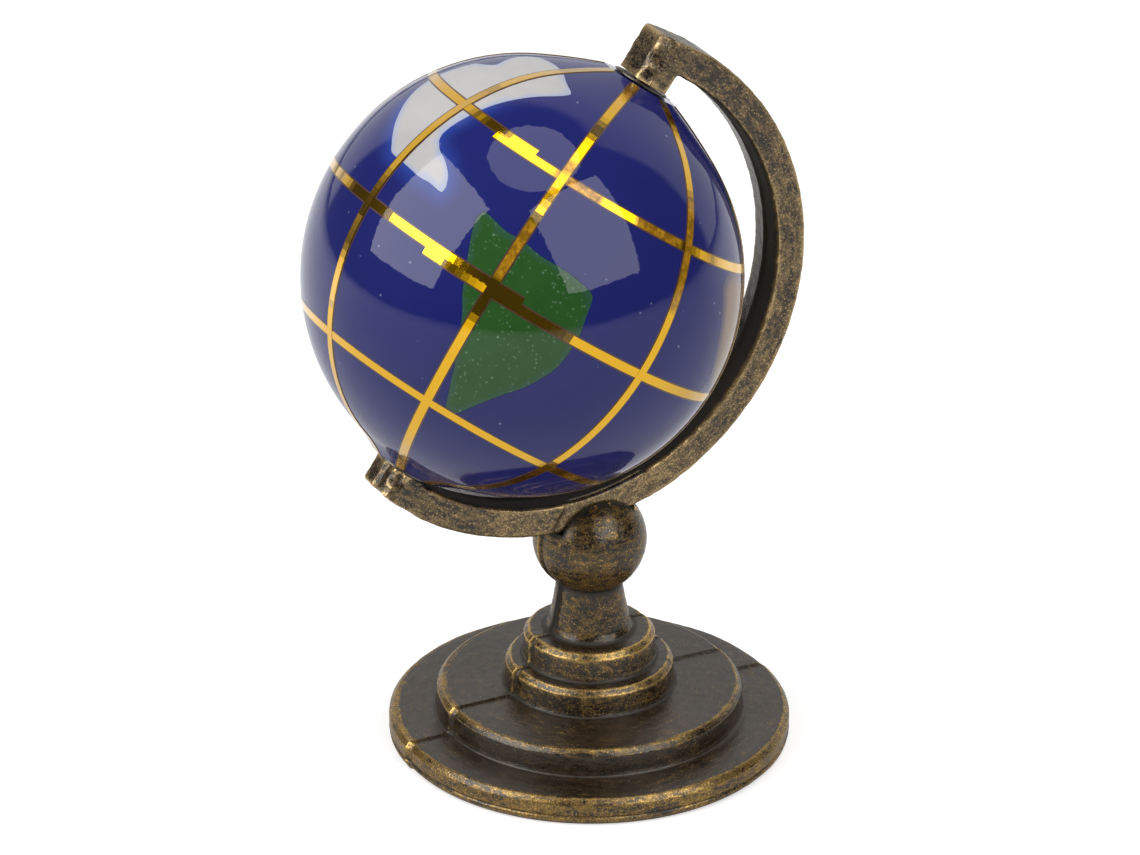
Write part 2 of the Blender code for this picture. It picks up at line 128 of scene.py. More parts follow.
# --- Small mesh helpers ---
def new_mesh_object(name, points, faces):
    """An object from points in millimetres; faces outwards."""
    mesh = bpy.data.meshes.new(name)
    mesh.from_pydata([tuple(Vector(p) * MM) for p in points], [], faces)
    mesh.validate()
    bm = bmesh.new()
    bm.from_mesh(mesh)
    bmesh.ops.recalc_face_normals(bm, faces=bm.faces)
    bm.to_mesh(mesh)
    bm.free()
    obj = bpy.data.objects.new(name, mesh)
    bpy.context.scene.collection.objects.link(obj)
    return obj


def cut_away(target, cutter):
    """Take the cutter's volume out of the target for good."""
    modifier = target.modifiers.new("cut", "BOOLEAN")
    modifier.object, modifier.operation, modifier.solver = cutter, "DIFFERENCE", "EXACT"
    bpy.context.view_layer.update()
    graph = bpy.context.evaluated_depsgraph_get()
    mesh = bpy.data.meshes.new_from_object(target.evaluated_get(graph))
    target.modifiers.clear()
    target.data = mesh
    bpy.data.objects.remove(cutter, do_unlink=True)


def place(obj, node, body, slot, *materials):
    """Put a finished piece in place of its CAD node."""
    for material in materials:
        obj.data.materials.append(material)
    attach(obj, body)
    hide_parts(node)
    return obj


def shade(obj, sharp_degrees):
    obj.data.shade_smooth()
    obj.data.set_sharp_from_angle(angle=math.radians(sharp_degrees))


def smooth_step(low, high, value):
    t = max(0.0, min(1.0, (value - low) / (high - low)))
    return t * t * (3 - 2 * t)


def around(points):
    """Each point of a closed outline with the next one."""
    return zip(points, points[1:] + points[:1])


def tube_faces(rows, count, capped=True):
    """Quads between rows of count points each, in order; capped closes both ends."""
    faces = []
    for i in range(rows - 1):
        for k in range(count):
            a, b = i * count + k, i * count + (k + 1) % count
            faces.append([a, b, b + count, a + count])
    last = (rows - 1) * count
    return faces + ([list(range(count)), [last + k for k in range(count)]] if capped else [])


def globe_matrix():
    """Turns the globe's own frame, with its pole on z, to the tilted ball."""
    spin = math.radians(MAIN_MERIDIAN)
    front = Vector((0.0, -1.0, 0.0))
    east = AXIS.cross(front)
    zero = front * math.cos(spin) + east * math.sin(spin)
    return Matrix((zero, AXIS.cross(zero), AXIS)).transposed()


GLOBE = globe_matrix()


def on_globe(x, y, z):
    return BALL_CENTRE + GLOBE @ Vector((x, y, z))


def from_lat_lon(latitude, longitude, radius=1.0):
    return Vector((radius * math.cos(latitude) * math.cos(longitude),
                   radius * math.cos(latitude) * math.sin(longitude),
                   radius * math.sin(latitude)))


def swell(latitude):
    """How far the ball's skin stands off the sphere at a latitude in radians."""
    reach = SWELL_REACH[1 if latitude > 0 else -1]
    share = max(0.0, (reach - 90.0 + abs(math.degrees(latitude))) / (reach - 90.0 + SEAT_LATITUDE))
    return SWELL_HEIGHT * share * share


def skin(direction, radius):
    """A point at a radius of the sphere, lifted with the swelling at the poles."""
    unit = direction.normalized()
    return unit * (radius + swell(math.asin(max(-1.0, min(1.0, unit.z)))))


def lathe(profile, segments, put, closed=True):
    """Revolve a (radius, height) profile; an open one starts and ends on the axis.

    put takes x, y and z about the axis to a point of the model.
    """
    points, rows = [], []
    for radius, height in profile:
        if radius < 1e-9:
            rows.append([len(points)] * segments)
            points.append(put(0.0, 0.0, height))
            continue
        rows.append(list(range(len(points), len(points) + segments)))
        for i in range(segments):
            a = TAU * i / segments
            points.append(put(radius * math.cos(a), radius * math.sin(a), height))
    faces = []
    for low, high in (around(rows) if closed else zip(rows, rows[1:])):
        for i in range(segments):
            j = (i + 1) % segments
            face = [low[i], low[j], high[j], high[i]]
            faces.append([c for k, c in enumerate(face) if c not in face[:k]])
    return points, [f for f in faces if len(f) > 2]


# --- Outline helpers ---
def soften(points, rounds=2):
    """Chaikin corner cutting of a closed outline."""
    for _ in range(rounds):
        cut = []
        for p, q in around(points):
            cut += [p.lerp(q, 0.18), p.lerp(q, 0.82)]
        points = cut
    return points


def signed_area(outline):
    return 0.5 * sum(p.x * q.y - q.x * p.y for p, q in around(outline))


def grown(points, distance):
    """A closed outline moved outwards."""
    turn = 1.0 if signed_area(points) > 0 else -1.0
    moved = []
    for i, p in enumerate(points):
        a = (p - points[i - 1]).normalized()
        b = (points[(i + 1) % len(points)] - p).normalized()
        n = Vector((a.y + b.y, -a.x - b.x)).normalized() * turn
        moved.append(p + n * distance)
    return moved


def inside(point, outline):
    """Even-odd test of a point in a flat outline."""
    hit = False
    for p, q in around(outline):
        if (p.y > point.y) != (q.y > point.y):
            if point.x < p.x + (q.x - p.x) * (point.y - p.y) / (q.y - p.y):
                hit = not hit
    return hit


class Patch:
    """A land's outline, laid out flat around its middle and wrapped back on the ball."""

    def __init__(self, outline):
        corners = [from_lat_lon(math.radians(a), math.radians(b)) for a, b in outline]
        self.middle = sum(corners, Vector()).normalized()
        self.east = Vector((0, 0, 1)).cross(self.middle).normalized()
        self.north = self.middle.cross(self.east)
        self.flat = soften([self.lay(c) for c in corners], 2)

    def lay(self, direction):
        """A direction of the globe's frame to its place on the flat."""
        angle = self.middle.angle(direction)
        scale = COAT_RADIUS * angle / max(1e-9, math.sin(angle))
        return Vector((direction.dot(self.east), direction.dot(self.north))) * scale

    def wrap(self, v, radius):
        """A place on the flat to a point at a radius of the ball."""
        away = v.length / COAT_RADIUS
        side = (self.east * v.x + self.north * v.y).normalized() if v.length > 1e-9 else Vector()
        return skin(self.middle * math.cos(away) + side * math.sin(away), radius)

    def solid(self, radii, grid, grow=0.0):
        """Points and faces of a slab between two radii, with grid points on its faces."""
        flat = grown(self.flat, grow) if grow else self.flat
        rim = []
        for p, q in around(flat):
            pieces = max(1, math.ceil((q - p).length / grid))
            rim += [p.lerp(q, k / pieces) for k in range(pieces)]
        xs, ys = [p.x for p in rim], [p.y for p in rim]
        filling = []
        for i in range(math.ceil((max(xs) - min(xs)) / grid)):
            for j in range(math.ceil((max(ys) - min(ys)) / grid)):
                p = Vector((min(xs) + (i + 0.5) * grid, min(ys) + (j + 0.5) * grid))
                if inside(p, rim) and min((p - q).length_squared for q in rim) > (0.45 * grid) ** 2:
                    filling.append(p)
        count = len(rim)
        edges = [(i, (i + 1) % count) for i in range(count)]
        verts, _, faces, *_ = delaunay_2d_cdt(rim + filling, edges, [], 1, 1e-7)
        points = [on_globe(*self.wrap(v, radius)) for radius in radii for v in verts]
        total = len(verts)
        walls = [[i, j, j + total, i + total] for i, j in edges]
        return points, ([list(f) for f in faces] + [[i + total for i in f] for f in faces] + walls)


def skin_normal(direction):
    """The skin's outward normal in a direction of the globe's own frame."""
    unit = direction.normalized()
    latitude = math.asin(max(-1.0, min(1.0, unit.z)))
    small = 0.002
    slope = (swell(latitude + small) - swell(latitude - small)) / (2 * small * COAT_RADIUS)
    north = Vector((0.0, 0.0, 1.0)) - unit * unit.z
    return (unit - north.normalized() * slope).normalized() if north.length > 1e-6 else unit


def smooth_skin(obj, threshold=0.975):
    """Give every face that lies on the ball's skin the skin's exact normals."""
    mesh = obj.data
    back = GLOBE.transposed()
    exact = {}
    normals = []
    mesh.shade_smooth()
    for polygon in mesh.polygons:
        for index in polygon.loop_indices:
            vertex = mesh.loops[index].vertex_index
            if vertex not in exact:
                exact[vertex] = GLOBE @ skin_normal(back @ (mesh.vertices[vertex].co / MM - BALL_CENTRE))
            out = exact[vertex]
            normals.append(out if out.dot(polygon.normal) > threshold else polygon.normal)
    mesh.normals_split_custom_set(normals)


# --- Materials: node helpers ---
class Nodes:
    """Builds the node tree of a material or a world with short calls."""

    def __init__(self, owner):
        owner.use_nodes = True
        self.owner, self.tree = owner, owner.node_tree
        self.shader = self.tree.nodes.get("Principled BSDF")

    def add(self, kind, inputs=None, **settings):
        node = self.tree.nodes.new(kind)
        for key, value in settings.items():
            setattr(node, key, value)
        for key, value in (inputs or {}).items():
            self.set(node.inputs[key], value)
        return node

    def set(self, socket, value):
        """Link a socket, or give it a number, a Vector, or a colour as a tuple of three."""
        if isinstance(value, bpy.types.NodeSocket):
            self.tree.links.new(value, socket)
        else:
            socket.default_value = (*value, 1.0) if isinstance(value, tuple) else value

    def math(self, operation, a, b=0.0):
        return self.add("ShaderNodeMath", {0: a, 1: b}, operation=operation).outputs[0]

    def plus(self, a, b):
        return self.math("ADD", a, b)

    def minus(self, a, b):
        return self.math("SUBTRACT", a, b)

    def times(self, a, b):
        return self.math("MULTIPLY", a, b)

    def larger(self, a, b):
        return self.math("MAXIMUM", a, b)

    def vector_math(self, operation, a, b=(0.0, 0.0, 0.0)):
        node = self.add("ShaderNodeVectorMath", {0: a, 1: Vector(b)}, operation=operation)
        return node.outputs["Value" if operation in ("LENGTH", "DOT_PRODUCT") else "Vector"]

    def noise(self, where, scale, detail=3.0, roughness=0.55, distortion=0.0):
        return self.add("ShaderNodeTexNoise", {"Vector": where, "Scale": scale, "Detail": detail,
                                               "Roughness": roughness,
                                               "Distortion": distortion}).outputs["Fac"]

    def spots(self, where, scale):
        """Distance to the nearest of scattered points."""
        return self.add("ShaderNodeTexVoronoi", {"Vector": where, "Scale": scale}).outputs["Distance"]

    def step(self, value, low, high):
        """0 below low, 1 above high, smooth between. low may be above high to turn it round."""
        ends = {"From Min": min(low, high), "From Max": max(low, high),
                "To Min": float(low > high), "To Max": float(low <= high)}
        return self.add("ShaderNodeMapRange", {"Value": value, **ends},
                        interpolation_type="SMOOTHSTEP").outputs["Result"]

    def mix(self, factor, a, b):
        """Between two colours."""
        return self.add("ShaderNodeMix", {"Factor": factor, 6: a, 7: b}, data_type="RGBA").outputs[2]

    def blend(self, factor, a, b):
        """Between two numbers."""
        return self.add("ShaderNodeMix", {"Factor": factor, 2: a, 3: b}, data_type="FLOAT").outputs[0]

    def bump(self, height, strength, distance):
        return self.add("ShaderNodeBump", {"Height": height, "Strength": strength,
                                           "Distance": distance}).outputs["Normal"]

    def attribute(self, name, output="Fac"):
        return self.add("ShaderNodeAttribute", attribute_name=name).outputs[output]

    def object_place(self):
        return self.add("ShaderNodeTexCoord").outputs["Object"]

    def clear_coat(self, roughness=COAT_ROUGHNESS, ior=COAT_IOR):
        self.out(Coat_Weight=1.0, Coat_Roughness=roughness, Coat_IOR=ior)

    def out(self, **values):
        """Set the shader's sockets, with _ for a space in a name, and return the material."""
        for key, value in values.items():
            self.set(self.shader.inputs[key.replace("_", " ")], value)
        return self.owner


def new_material(name):
    return Nodes(bpy.data.materials.new(name))


# --- Materials ---
# Scales of noise and spots are per metre; bump heights are in metres.
PATINA = (0.0230, 0.0140, 0.0070), (0.0480, 0.0300, 0.0160)
PATINA_PIT, NOOK_DIRT, INNER_BLACK = (0.012, 0.008, 0.005), (0.008, 0.006, 0.004), (0.004, 0.003, 0.002)
PATINA_IOR, PATINA_TINT = 1.62, (1.0, 0.95, 0.87)
BARE_BRASS_SHARES = {"rub_and_painted_light": 0.16, "edge": 0.24, "cloud": 0.22, "nook": 0.30}
INNER_RUB = (-0.7, -1.0)    # the attribute of bare brass and painted light below these marks the untouched inside of the C
BRASS_BUMP, COAT_BUMP, FOIL_BUMP, STEEL_BUMP = 0.00005, 0.000010, 0.00002, 0.00003


def antique_brass(name, dark, light, gold):
    """Glossy dark patina with bare brass showing through on worn and raised places, and as painted light
    on low and downward faces.

    dark and light are the range of the bare metal and gold is its polished edges. The grain is
    drawn out along the flow attribute, the way the casting was brushed.
    """
    n = new_material(name)
    where = n.object_place()
    flow = n.attribute("flow", "Vector")
    edge, nook, rub_and_painted_light = n.attribute("edge"), n.attribute("nook"), n.attribute("rub_and_painted_light")
    cloud = n.noise(where, 330.0, 3.0, 0.55)
    coarse = n.noise(flow, 3300.0, 4.0, 0.68, 0.4)
    fine = n.noise(where, 9500.0, 2.0, 0.6)
    grain = n.plus(n.times(coarse, 0.65), n.times(fine, 0.35))
    rubbed_and_painted_light = n.times(n.times(rub_and_painted_light, n.minus(1.0, edge)), BARE_BRASS_SHARES["rub_and_painted_light"])
    wear_and_painted_light = n.plus(rubbed_and_painted_light, n.times(edge, BARE_BRASS_SHARES["edge"]))
    wear_and_painted_light = n.plus(wear_and_painted_light, n.times(n.minus(cloud, 0.5), BARE_BRASS_SHARES["cloud"]))
    wear_and_painted_light = n.minus(wear_and_painted_light, n.times(nook, BARE_BRASS_SHARES["nook"]))
    fleck = n.times(n.step(n.plus(fine, n.times(wear_and_painted_light, 0.6)), 0.62, 0.72), 0.8)
    bare = n.larger(n.times(n.step(n.plus(grain, wear_and_painted_light), 0.46, 0.76), 0.92), fleck)
    patina = n.mix(n.step(grain, 0.42, 0.54), PATINA_PIT, n.mix(cloud, *PATINA))
    polished = n.larger(n.times(edge, 0.8), n.times(fleck, 0.6))
    colour = n.mix(bare, patina, n.mix(polished, n.mix(fine, dark, light), gold))
    colour = n.mix(n.times(n.step(nook, 0.15, 0.8), 0.7), colour, NOOK_DIRT)
    inner = n.step(rub_and_painted_light, *INNER_RUB)
    matte = n.larger(n.times(n.step(nook, 0.1, 0.6), 0.5), inner)
    glossy = n.blend(bare, n.blend(coarse, 0.14, 0.32), n.blend(fine, 0.20, 0.34))
    return n.out(Base_Color=n.mix(n.times(inner, 0.6), colour, INNER_BLACK), Metallic=bare,
                 IOR=PATINA_IOR, Specular_Tint=PATINA_TINT,
                 Roughness=n.blend(matte, glossy, n.blend(coarse, 0.7, 1.0)),
                 Normal=n.bump(grain, 0.8, BRASS_BUMP))


def coated(name, colour_of):
    """A resin under a thick, faintly wavy glossy coat."""
    n = new_material(name)
    where = n.object_place()
    wavy = n.plus(n.noise(where, 480.0, 2.0), n.times(n.noise(where, 1600.0, 2.0), 0.35))
    n.clear_coat()
    return n.out(Base_Color=colour_of(n, where), Roughness=0.6, Specular_IOR_Level=0.1,
                 Coat_Normal=n.bump(wavy, 1.0, COAT_BUMP))


def blue_colour(n, where):
    cloud = n.noise(where, 160.0, 3.0, 0.5)
    deep = n.mix(cloud, (0.0060, 0.0095, 0.115), (0.0090, 0.0135, 0.155))
    # painted glow: the blue is lightened near the white inlay
    painted_glow = n.mix(n.attribute("painted_glow"), deep, (0.018, 0.048, 0.30))
    dust = n.step(n.spots(where, 620.0), 0.060, 0.025)
    return n.mix(n.times(dust, 0.5), painted_glow, (0.35, 0.38, 0.55))


def white_colour(n, where):
    cloud = n.noise(where, 420.0, 4.0, 0.6, 0.4)
    milk = n.mix(cloud, (0.44, 0.43, 0.43), (0.55, 0.53, 0.52))
    return n.mix(n.step(n.attribute("rim"), 0.0, 1.0), milk, (0.38, 0.42, 0.58))


def green_colour(n, where):
    """Green with pale specks of two sizes in different patches."""
    cloud = n.noise(where, 500.0, 4.0, 0.6)
    green = n.mix(cloud, (0.010, 0.062, 0.008), (0.024, 0.098, 0.016))
    patchy = n.noise(where, 1100.0, 2.0)
    large = n.times(n.step(n.spots(where, 1700.0), 0.20, 0.03), n.step(patchy, 0.46, 0.60))
    small = n.times(n.step(n.spots(where, 3600.0), 0.34, 0.06), n.step(patchy, 0.62, 0.40))
    green = n.mix(n.larger(n.times(large, 0.6), n.times(small, 0.35)), green, (0.26, 0.42, 0.28))
    tinted = n.times(n.step(n.attribute("rim"), 0.0, 1.0), 0.4)
    return n.mix(tinted, green, (0.030, 0.085, 0.10))


def tan_colour(n, where):
    cloud = n.noise(where, 500.0, 4.0, 0.6)
    tan = n.mix(cloud, (0.20, 0.12, 0.075), (0.30, 0.19, 0.12))
    return n.mix(n.step(n.attribute("rim"), 0.0, 1.0), tan, (0.045, 0.040, 0.120))


def gold_foil():
    """Mirror foil under the same coat, which keeps the ball's smooth normal; amber where dull."""
    n = new_material("gold_foil")
    where = n.object_place()
    crease = n.noise(where, 1500.0, 3.0, 0.6)
    fleck = n.noise(where, 2600.0, 3.0, 0.65)
    tint = n.mix(n.noise(where, 500.0, 2.0), (0.98, 0.51, 0.004), (1.0, 0.58, 0.008))
    turn = n.add("ShaderNodeVectorTransform", {0: n.vector_math("SUBTRACT", where, BALL_CENTRE * MM)},
                 vector_type="NORMAL", convert_from="OBJECT", convert_to="WORLD")
    n.clear_coat()
    dull = n.attribute("dull")
    amber = n.mix(n.step(fleck, 0.36, 0.66), (0.16, 0.060, 0.006), (0.66, 0.31, 0.02))
    return n.out(Base_Color=n.mix(dull, tint, amber), Metallic=n.minus(1.0, n.times(dull, 0.8)),
                 Roughness=0.13, Normal=n.bump(crease, 0.16, FOIL_BUMP),
                 Coat_Normal=n.vector_math("NORMALIZE", turn.outputs[0]))


def painted_foil_edge_shade():
    """A dark line along both sides of the foil: painted shade where the foil meets the ball."""
    n = new_material("foil_edge_painted_shade")
    tone = n.noise(n.object_place(), 1200.0, 2.0)
    n.clear_coat(0.02, 1.5)
    return n.out(Base_Color=n.mix(tone, (0.035, 0.010, 0.003), (0.095, 0.028, 0.007)), Roughness=0.5)


def plain_metal(name, dark, light, roughness):
    n = new_material(name)
    fine = n.noise(n.object_place(), 2500.0, 3.0, 0.6)
    return n.out(Base_Color=n.mix(fine, dark, light), Metallic=1.0,
                 Roughness=n.blend(fine, roughness - 0.08, roughness + 0.08),
                 Normal=n.bump(fine, 0.3, STEEL_BUMP))


# --- Globe ---
def build_globe():
    patches = {name: Patch(outline) for name, (_, outline) in LANDS.items()}
    top = math.radians(SEAT_LATITUDE - 0.6)     # just short of the seat's edge, which stays sharp
    rings, segments = 140, 288
    section = [(AXLE_BORE, -POLE_FLAT)]
    for i in range(rings + 1):
        p = skin(from_lat_lon(-top + 2 * top * i / rings, 0.0), COAT_RADIUS)
        section.append((p.x, p.z))
    section.append((AXLE_BORE, POLE_FLAT))
    ball = new_mesh_object("globe_ball_coated", *lathe(section, segments, on_globe))
    for patch in patches.values():
        pocket = patch.solid((COAT_RADIUS - INLAY_DEPTH - POCKET_GAP, COAT_RADIUS + 0.5), 1.0, POCKET_GROW)
        cut_away(ball, new_mesh_object("pocket", *pocket))
    glow_near(ball, patches["north_america_inlay"])
    smooth_skin(ball)
    place(ball, "globe_ball", "globe", "blue_resin", coated("blue_resin", blue_colour))
    makers = {"white_resin": white_colour, "green_resin": green_colour, "tan_resin": tan_colour}
    finishes = {slot: coated(slot, maker) for slot, maker in makers.items()}
    for name, (slot, _) in LANDS.items():
        patch = patches[name]
        land = new_mesh_object(name + "_polished",
                               *patch.solid((COAT_RADIUS - INLAY_DEPTH, COAT_RADIUS), 0.5))
        rim_attribute(land, patch, RIM_WIDTHS[slot])
        smooth_skin(land)
        place(land, name, "globe", slot, finishes[slot])


FAR = 99.0                  # stands for any distance too far to matter, in mm
GLOW_WIDTH = 1.1


def outline_distance(patch, point):
    """Distance in mm from a model point in metres to a patch's outline, and its place on the flat."""
    direction = GLOBE.transposed() @ (point / MM - BALL_CENTRE)
    if direction.length < 1e-6 or direction.normalized().dot(patch.middle) < 0.1:
        return FAR, Vector((0.0, 0.0))
    p = patch.lay(direction.normalized())
    best = FAR
    for a, b in around(patch.flat):
        along = b - a
        t = max(0.0, min(1.0, (p - a).dot(along) / max(1e-12, along.length_squared)))
        best = min(best, (p - a - along * t).length)
    return best, p


def float_attribute(obj, name, values):
    layer = obj.data.attributes.new(name, "FLOAT", "POINT")
    layer.data.foreach_set("value", np.asarray(values, dtype=np.float32))


def glow_near(ball, patch):
    """Painted glow: the blue resin lightened as if lit through from the white inlay, strongest along its
    lower edge.
    """
    values = []
    for vertex in ball.data.vertices:
        distance, p = outline_distance(patch, vertex.co)
        low_side = smooth_step(1.2, -0.8, p.y - 0.45 * p.x)
        values.append(low_side * max(0.0, 1.0 - distance / GLOW_WIDTH) ** 1.3)
    float_attribute(ball, "painted_glow", values)


def rim_attribute(land, patch, width):
    """rim: 1 at the inlay's outline, 0 from a width in mm inside it."""
    values = [max(0.0, 1.0 - outline_distance(patch, v.co)[0] / width) for v in land.data.vertices]
    float_attribute(land, "rim", values)


# --- Foil ---
FOIL_HALF = 0.25            # half its width
FLANGE = 0.09               # the painted shade line shows this far on each side
SHADE_LINE_BOTTOM, SHADE_LINE_TOP = COAT_RADIUS - 0.03, COAT_RADIUS + 0.006
CHAMFER = 0.035
TOP_SPANS = ([3, 4], [4, 5], [5, 6])        # of the section's corners: the foil itself
TIP_ALONG, TIP_ACROSS, FACET_ROWS = 0.035, 0.026, (3, 9)


def foil_section(level):
    """Corners as (offset across, radius): painted shade line, foil with eased edges, painted shade line.
    """
    half = [(-FOIL_HALF - FLANGE, SHADE_LINE_BOTTOM), (-FOIL_HALF - FLANGE, SHADE_LINE_TOP), (-FOIL_HALF, SHADE_LINE_TOP),
            (-FOIL_HALF, level - 0.5 * CHAMFER), (-FOIL_HALF + CHAMFER, level)]
    return half + [(-offset, radius) for offset, radius in reversed(half)]


def crease_facets(path, seed, leans):
    """Tip along and across, in radians, of each row: the foil is laid in short flat facets."""
    rng = random.Random(seed)
    facets = []
    along, across, left = 0.0, 0.0, 0
    for row in range(len(path)):
        share = row / (len(path) - 1)
        lean = sum(tip for low, high, tip in leans if low < share < high)
        if left <= 0:
            along, across = rng.gauss(0.0, TIP_ALONG), rng.gauss(0.0, TIP_ACROSS)
            left = rng.randint(*FACET_ROWS)
        left -= 1
        facets.append((along, lean + across))
    return facets


def foil_strip(name, path, level, seed, leans=(), dull=()):
    """A ribbon along a list of (centre direction, side direction), with creases between facets.

    leans lists (from, to, sideways tip in radians) by share of the length; dull lists (from, to,
    amount) where the foil has lost its shine.
    """
    section = foil_section(level)
    count, last_row = len(section), len(path) - 1
    facets = crease_facets(path, seed, leans)
    points = [on_globe(*skin(out * COAT_RADIUS + side * offset, radius))
              for out, side in path for offset, radius in section]
    obj = new_mesh_object(name, points, tube_faces(len(path), count))
    obj.data.shade_smooth()
    normals = []
    for polygon in obj.data.polygons:
        corners = sorted({v % count for v in polygon.vertices})
        top = len(polygon.vertices) == 4 and corners in TOP_SPANS
        # all but the foil's top take the second material, the dark painted shade line
        polygon.material_index = 0 if top else 1
        row = min(polygon.vertices) // count
        normal = polygon.normal
        if top:
            out, side = GLOBE @ skin_normal(path[row][0]), (GLOBE @ path[row][1]).normalized()
            along, across = facets[row]
            normal = (out + out.cross(side) * along + side * across).normalized()
        normals += [normal] * len(polygon.loop_indices)
    obj.data.normals_split_custom_set(normals)
    shares = [v // count / last_row for v in range(len(obj.data.vertices))]
    float_attribute(obj, "dull", [sum(amount for low, high, amount in dull if low < share < high)
                                  for share in shares])
    return obj


PATH_STEP = math.radians(2.0)


def ring_path(latitude, start, stop, drift):
    """Round the globe at a latitude, from start to stop longitude, drifting sideways in mm."""
    count = round((stop - start) / PATH_STEP)
    path = []
    for i in range(count + 1):
        t = i / count
        longitude = start + (stop - start) * t
        lat = latitude + (drift * (t - 0.5)) / COAT_RADIUS
        north = Vector((-math.sin(lat) * math.cos(longitude), -math.sin(lat) * math.sin(longitude),
                        math.cos(lat)))
        path.append((from_lat_lon(lat, longitude), north))
    return path


def strip_path(longitude, reach):
    east = Vector((-math.sin(longitude), math.cos(longitude), 0.0))
    count = round(2 * reach / PATH_STEP)
    return [(from_lat_lon(-reach + 2 * reach * i / count, longitude), east) for i in range(count + 1)]


# Rings: latitude, longitude of the first end, overlap of the ends in degrees, sideways drift in mm,
# stretches that lean, stretches that are dull.
RINGS = {"foil_equator": (-0.3, -20.0, 28.5, 0.42, [(0.016, 0.050, -0.25)], []),
         "foil_north_parallel": (34.3, -25.5, 14.5, 0.36, [(0.106, 0.134, -0.22), (0.19, 0.30, 0.20)],
                                 [(0.063, 0.106, 0.9), (0.134, 0.186, 0.8)]),
         "foil_south_parallel": (-37.1, 150.0, 16.0, 0.36, [], [])}
STRIP_LONGITUDES = (0.0, 47.0, 91.5, 136.0, 180.0, 226.0, 270.5, 317.0)
STRIP_REACH = 79.6          # degrees of latitude, short of the washers
STRIP_LEANS = {7: [(0.3, 1.0, -0.27)]}
STRIP_DULL = {0: [(0.519, 0.613, 0.8), (0.72, 0.745, 0.7)], 1: [(0.60, 0.795, 0.7)]}
RING_SEED, STRIP_SEED = 11, 31


def build_foils():
    gold, edge_shade = gold_foil(), painted_foil_edge_shade()
    for index, (node, (latitude, start, lap, drift, leans, dull)) in enumerate(RINGS.items()):
        path = ring_path(math.radians(latitude), math.radians(start),
                         math.radians(start + 360.0 + lap), drift)
        ring = foil_strip(node + "_foil", path, RING_LEVEL, RING_SEED + index, leans, dull)
        place(ring, node, "globe", "gold_foil", gold, edge_shade)
    for index, degrees in enumerate(STRIP_LONGITUDES):
        node = f"foil_meridian_{index + 1}"
        strip = foil_strip(node + "_foil", strip_path(math.radians(degrees), math.radians(STRIP_REACH)),
                           STRIP_LEVEL, STRIP_SEED + index, STRIP_LEANS.get(index, ()),
                           STRIP_DULL.get(index, ()))
        place(strip, node, "globe", "gold_foil", gold, edge_shade)


# --- Cast stand ---
PROFILE_STEP, CORNER_STEPS, KNOB_STEPS = 0.17, 5, 24
STEM_BOTTOM = 6.9
GRAIN_SQUEEZE = 0.42        # the grain is this much finer across the brushing than along it


def rounded_profile(corners):
    """Corners as (r, z, radius) to a dense (r, z) list with round corners."""
    points = []
    for i, (r, z, radius) in enumerate(corners):
        p = Vector((r, z))
        if radius == 0.0 or i in (0, len(corners) - 1):
            points.append(p)
            continue
        before = Vector(corners[i - 1][:2]) - p
        after = Vector(corners[i + 1][:2]) - p
        half = 0.5 * before.angle(after)
        cut = min(radius / math.tan(half), 0.48 * before.length, 0.48 * after.length)
        a, b = p + before.normalized() * cut, p + after.normalized() * cut
        for k in range(CORNER_STEPS + 1):
            t = k / CORNER_STEPS
            points.append(a * (1 - t) ** 2 + p * 2 * t * (1 - t) + b * t ** 2)
    dense = [points[0]]
    for p, q in zip(points, points[1:]):
        pieces = max(1, math.ceil((q - p).length / PROFILE_STEP))
        dense += [p.lerp(q, k / pieces) for k in range(1, pieces + 1)]
    return dense


def foot_profile():
    """Rim, three tiers, stem and knob, from the middle of the underside to the top of the knob."""
    tiers = [(8.85, 1.70, 3.30), (4.85, 3.32, 5.0), (3.78, 5.02, 6.78)]
    corners = [(0.0, 0.0, 0.0), (11.36, 0.0, 0.14), (11.60, 0.24, 0.2), (11.62, 0.46, 0.03),
               (11.55, 0.54, 0.03), (11.61, 0.64, 0.03), (11.62, 1.30, 0.3), (11.32, 1.66, 0.3),
               (10.9, 1.68, 0.1)]
    for radius, low, high in tiers:
        corners += [(radius + 0.10, low, 0.12), (radius + 0.02, low + 0.22, 0.15),
                    (radius - 0.03, high - 0.36, 0.25), (radius - 0.33, high - 0.02, 0.25)]
    stem_top = 9.86
    corners += [(2.55, 6.80, 0.3), (2.30, 7.3, 0.8), (2.02, 8.7, 0.6), (1.86, 9.75, 0.0)]
    low = math.asin((stem_top - KNOB_HEIGHT) / KNOB_RADIUS)
    for i in range(KNOB_STEPS + 1):
        a = low + (math.pi / 2 - low) * i / KNOB_STEPS
        corners.append((max(0.0, KNOB_RADIUS * math.cos(a)) if i < KNOB_STEPS else 0.0,
                        KNOB_HEIGHT + KNOB_RADIUS * math.sin(a), 0.0))
    return rounded_profile(corners)


def mould_columns(half):
    """Angles round the foot with how far each belongs to the back half of the mould."""
    ramp = [(-1.0, 0.0), (-0.3, 0.12), (0.3, 0.88), (1.0, 1.0)]
    width = 0.020
    front = [(math.pi + math.pi * i / half, 0.0) for i in range(1, half)]
    back = [(math.pi * i / half, 1.0) for i in range(1, half)]
    into_back = [(TAU + width * t, weight) for t, weight in ramp]
    into_front = [(math.pi - width * t, weight) for t, weight in ramp]
    return front + into_back + back + list(reversed(into_front))


